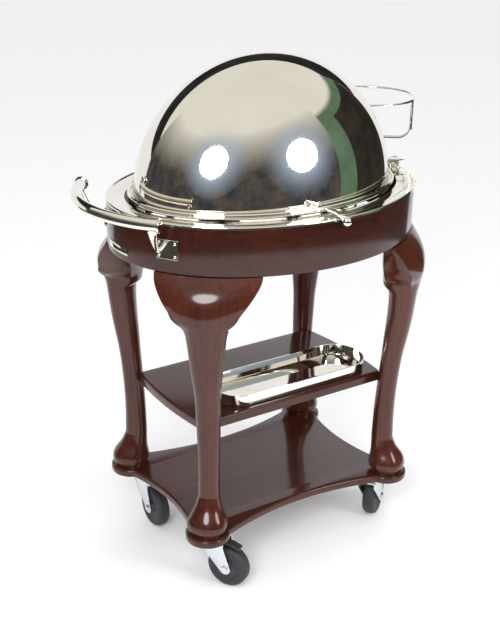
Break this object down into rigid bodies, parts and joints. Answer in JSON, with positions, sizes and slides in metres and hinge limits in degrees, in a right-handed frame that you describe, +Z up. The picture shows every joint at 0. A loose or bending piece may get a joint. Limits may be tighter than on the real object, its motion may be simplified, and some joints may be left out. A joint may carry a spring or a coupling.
{
  "type": "carving trolley",
  "caption": "Serving trolley on swivel castors: oval top with a roll-over dome lid over a pan and carving board, cabriole legs, shelves, tray, push handle and plate ring.",
  "frame": {"origin": "the floor under the middle of the whole trolley's box, handle and plate ring included", "axes": "+Z up; X along the long way of the oval top, with the push handle at -X and the plate ring at +X; -Y is the side with the lid's lever"},
  "size_m": [1.0078, 0.62, 1.1648],
  "materials": {
    "mahogany": "gloss varnish",
    "silver": "mirror, slightly warm",
    "pale_wood": "oiled",
    "brass": "polished",
    "zinc": "bright zinc plated",
    "tyre": "dull rubber",
    "grey_plastic": "matt",
    "black_plastic": "matt"
  },
  "bodies": {
    "trolley": {"bottom_shelf": "mahogany", "mid_shelf": "mahogany", "apron": "mahogany", "top_ring": "silver", "leg_left_front": "mahogany", "leg_left_back": "mahogany", "leg_right_front": "mahogany", "leg_right_back": "mahogany", "pan": "silver", "carving_board": "pale_wood", "burner": "brass", "burner_cradle": "brass", "pan_arm_left": "silver", "pan_arm_right": "silver", "pivot_pin_left": "silver", "pivot_pin_right": "silver", "pan_hanger_left": "silver", "pan_hanger_right": "silver", "handle_tube": "silver", "handle_cap_front": "silver", "handle_cap_back": "silver", "handle_plate_front": "silver", "handle_plate_back": "silver", "handle_arm_front": "silver", "handle_arm_back": "silver", "plaque": "silver", "end_bracket": "silver", "end_knob": "silver", "plate_ring": "silver", "plate_post": "silver", "plate_bracket": "silver", "tray": "silver", "castor_mount_left_front": "zinc", "castor_mount_left_back": "zinc", "castor_mount_right_front": "zinc", "castor_mount_right_back": "zinc"},
    "lid": {"lid_dome": "silver", "lid_rim": "silver", "lid_lever": "silver", "lid_knob": "silver", "lid_bushing_left": "silver", "lid_bushing_right": "silver"},
    "swivel_left_front": {"castor_fork_left_front": "zinc"},
    "swivel_left_back": {"castor_fork_left_back": "zinc"},
    "swivel_right_front": {"castor_fork_right_front": "zinc"},
    "swivel_right_back": {"castor_fork_right_back": "zinc"},
    "wheel_left_front": {"castor_tyre_left_front": "tyre", "castor_hub_left_front": "grey_plastic"},
    "wheel_left_back": {"castor_tyre_left_back": "tyre", "castor_hub_left_back": "grey_plastic"},
    "wheel_right_front": {"castor_tyre_right_front": "tyre", "castor_hub_right_front": "grey_plastic"},
    "wheel_right_back": {"castor_tyre_right_back": "tyre", "castor_hub_right_back": "grey_plastic"},
    "pedal_left_front": {"castor_pedal_left_front": "black_plastic"},
    "pedal_right_front": {"castor_pedal_right_front": "black_plastic"}
  },
  "joints": [
    {"name": "lid_roll", "type": "hinge", "parent": "trolley", "child": "lid", "pos_m": [-0.058, 0.002, 0.927], "axis": [-1, 0, 0], "range_deg": [0, 140]},
    {"name": "castor_swivel_left_front", "type": "hinge", "parent": "trolley", "child": "swivel_left_front", "pos_m": [-0.288, -0.1545, 0.117], "axis": [0, 0, 1], "continuous": true},
    {"name": "castor_swivel_left_back", "type": "hinge", "parent": "trolley", "child": "swivel_left_back", "pos_m": [-0.288, 0.1585, 0.117], "axis": [0, 0, 1], "continuous": true},
    {"name": "castor_swivel_right_front", "type": "hinge", "parent": "trolley", "child": "swivel_right_front", "pos_m": [0.172, -0.1545, 0.117], "axis": [0, 0, 1], "continuous": true},
    {"name": "castor_swivel_right_back", "type": "hinge", "parent": "trolley", "child": "swivel_right_back", "pos_m": [0.172, 0.1585, 0.117], "axis": [0, 0, 1], "continuous": true},
    {"name": "wheel_spin_left_front", "type": "hinge", "parent": "swivel_left_front", "child": "wheel_left_front", "pos_m": [-0.26715, -0.19211, 0.05], "axis": [0.8746, 0.4848, 0], "continuous": true},
    {"name": "wheel_spin_left_back", "type": "hinge", "parent": "swivel_left_back", "child": "wheel_left_back", "pos_m": [-0.288, 0.1155, 0.05], "axis": [1, 0, 0], "continuous": true},
    {"name": "wheel_spin_right_front", "type": "hinge", "parent": "swivel_right_front", "child": "wheel_right_front", "pos_m": [0.20765, -0.13045, 0.05], "axis": [-0.5592, 0.829, 0], "continuous": true},
    {"name": "wheel_spin_right_back", "type": "hinge", "parent": "swivel_right_back", "child": "wheel_right_back", "pos_m": [0.18313, 0.20003, 0.05], "axis": [-0.9659, 0.2588, 0], "continuous": true},
    {"name": "brake_left_front", "type": "hinge", "parent": "swivel_left_front", "child": "pedal_left_front", "pos_m": [-0.2754, -0.17724, 0.1085], "axis": [0.8746, 0.4848, 0], "range_deg": [0, 8]},
    {"name": "brake_right_front", "type": "hinge", "parent": "swivel_right_front", "child": "pedal_right_front", "pos_m": [0.19356, -0.13996, 0.1085], "axis": [-0.5592, 0.829, 0], "range_deg": [0, 8]}
  ]
}
